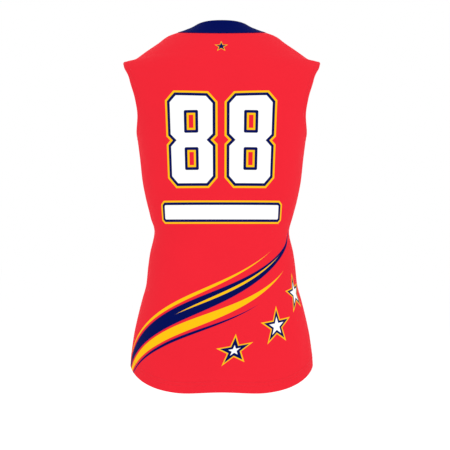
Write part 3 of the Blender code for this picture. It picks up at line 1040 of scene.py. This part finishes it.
def sewing_thread(name, colour):
    """Two twisted plies, as slanting bands of painted shade between the plies and painted highlight
    on their crowns, with relief to match: a wave texture on the diagonal has its crests 2 pi / 10
    of its scale's unit apart."""
    made, tree, shader = material_of(name, THREAD_SURFACE)
    place = node(tree, "TexCoord")
    twist = node(tree, "TexWave", place.outputs["Object"], Scale=2 * np.pi / 10 / TWIST,
                 Distortion=TWIST_WAVER, bands_direction="DIAGONAL")
    twist = twist.outputs["Fac"]
    # Painted shade and highlight: darker between the plies and lighter on their crowns, in the
    # colour
    shade = node(tree, "MapRange", twist, 0.0, 1.0, *TWIST_PAINTED_SHADE)
    bump = node(tree, "Bump", Strength=TWIST_BUMP, Distance=TWIST_HEIGHT, Height=twist)
    shaded(tree, shader, linear(colour), shade, bump)
    return made


def thread_piece(name, sets, material):
    """One piece of all these threads, each a tube of quads between two end faces."""
    points = np.concatenate(sets)
    count, rings = points.shape[:2]
    index = np.arange(rings * THREAD_SIDES).reshape(rings, THREAD_SIDES)
    after = np.roll(index, -1, axis=1)
    quad = np.stack([index[:-1], after[:-1], after[1:], index[1:]], axis=-1).reshape(-1, 4)
    ends = np.stack([index[0, ::-1], index[-1]])
    first = rings * THREAD_SIDES * np.arange(count)[:, None, None]
    faces = (quad + first).reshape(-1, 4).tolist()
    faces += (ends + first).reshape(-1, THREAD_SIDES).tolist()
    piece = piece_of(mesh_of(name, points, faces), material)
    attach(piece, "root")
    return piece


# Spun polyester thread dyed to match: smoother than the knit, so a stitch catches a satin glint.
red_thread = sewing_thread("spun_polyester_thread_red", "#E8283A")
even = np.linspace(0, 1, SEWN_SAMPLES)
hem_sewing, armhole_sewing, neck_sewing = [], [], []
for panel, creases in (("back", BACK_CREASES), ("front", FRONT_CREASES)):
    hem_rows = [inside_border(hem_line(panel, even), panel, depth) for depth in HEM_ROWS]
    armhole_rows = [armhole_line(panel, even, depth) for depth in ARMHOLE_STITCH_ROWS]
    neck_row = inside_border(neck_line(panel, even), panel, -NECK_ROW)
    for hand in (1, -1):
        for rows, sewing in ((hem_rows, hem_sewing), (armhole_rows, armhole_sewing)):
            sewing += [sewn_line(line, panel, creases, hand) for line in rows]
            sewing.append(covered(rows, panel, creases, hand))
        neck_sewing.append(sewn_line(neck_row, panel, creases, hand))
hem_stitching = thread_piece("hem_stitching", hem_sewing, red_thread)
armhole_stitching = thread_piece("armhole_stitching", armhole_sewing, red_thread)
neck_stitching = thread_piece("neck_stitching", neck_sewing, red_thread)
overlock = thread_piece("overlock", overlocked(SIDE_SPAN) + overlocked(SHOULDER_SPAN), red_thread)

# ------------------------------------------------------------------------------------------------
# Studio: a pale floor well below the jersey, even light from all round, and the camera behind the
# jersey at the level of its middle, which makes the picture 0.81 m high at the middle plane.

FLOOR = -0.95
FLOOR_SIZE = 24
VIEW_HEIGHT = 0.81
CAMERA_PLACE = (-0.0059, 2.0, -0.345)

# Matt white background paper: no gloss at all, so that the floor runs into the backdrop unseen.
paper = material_of("matt_white_paper", {"Base Color": linear(WHITE), "Roughness": 1,
                                         "Specular IOR Level": 0})[0]
corners = np.array([(-1, -1, 0), (1, -1, 0), (1, 1, 0), (-1, 1, 0)]) * FLOOR_SIZE / 2
floor = piece_of(mesh_of("floor", corners + (0, 0, FLOOR), [(0, 1, 2, 3)]), paper)

world = bpy.data.worlds.new("soft_studio")
world.use_nodes = True
background = world.node_tree.nodes["Background"]
background.inputs["Color"].default_value = linear(WHITE)
background.inputs["Strength"].default_value = 1.0
bpy.context.scene.world = world

LAMP_PLACES = {"behind": (-1.2, 2.6, 1.4), "before": (1.2, -2.6, 1.4)}
LAMP_SIZE = 2.4
LAMP_WATTS = 12
jersey_middle = [sum(ends) / 2 for ends in zip(*cad_box)]
for name, place in LAMP_PLACES.items():
    light = bpy.data.lights.new(name, "AREA")
    light.shape = "DISK"
    light.size = LAMP_SIZE
    light.energy = LAMP_WATTS
    holder = placed(light, place)
    aim = Vector(jersey_middle) - holder.location
    holder.rotation_euler = aim.to_track_quat("-Z", "Y").to_euler()

lens = bpy.data.cameras.new("camera")
lens.angle = 2 * np.arctan(VIEW_HEIGHT / 2 / CAMERA_PLACE[1])
camera = placed(lens, CAMERA_PLACE)
camera.rotation_euler = (np.pi / 2, 0, np.pi)
bpy.context.scene.camera = camera
bpy.context.scene.view_settings.view_transform = "Standard"
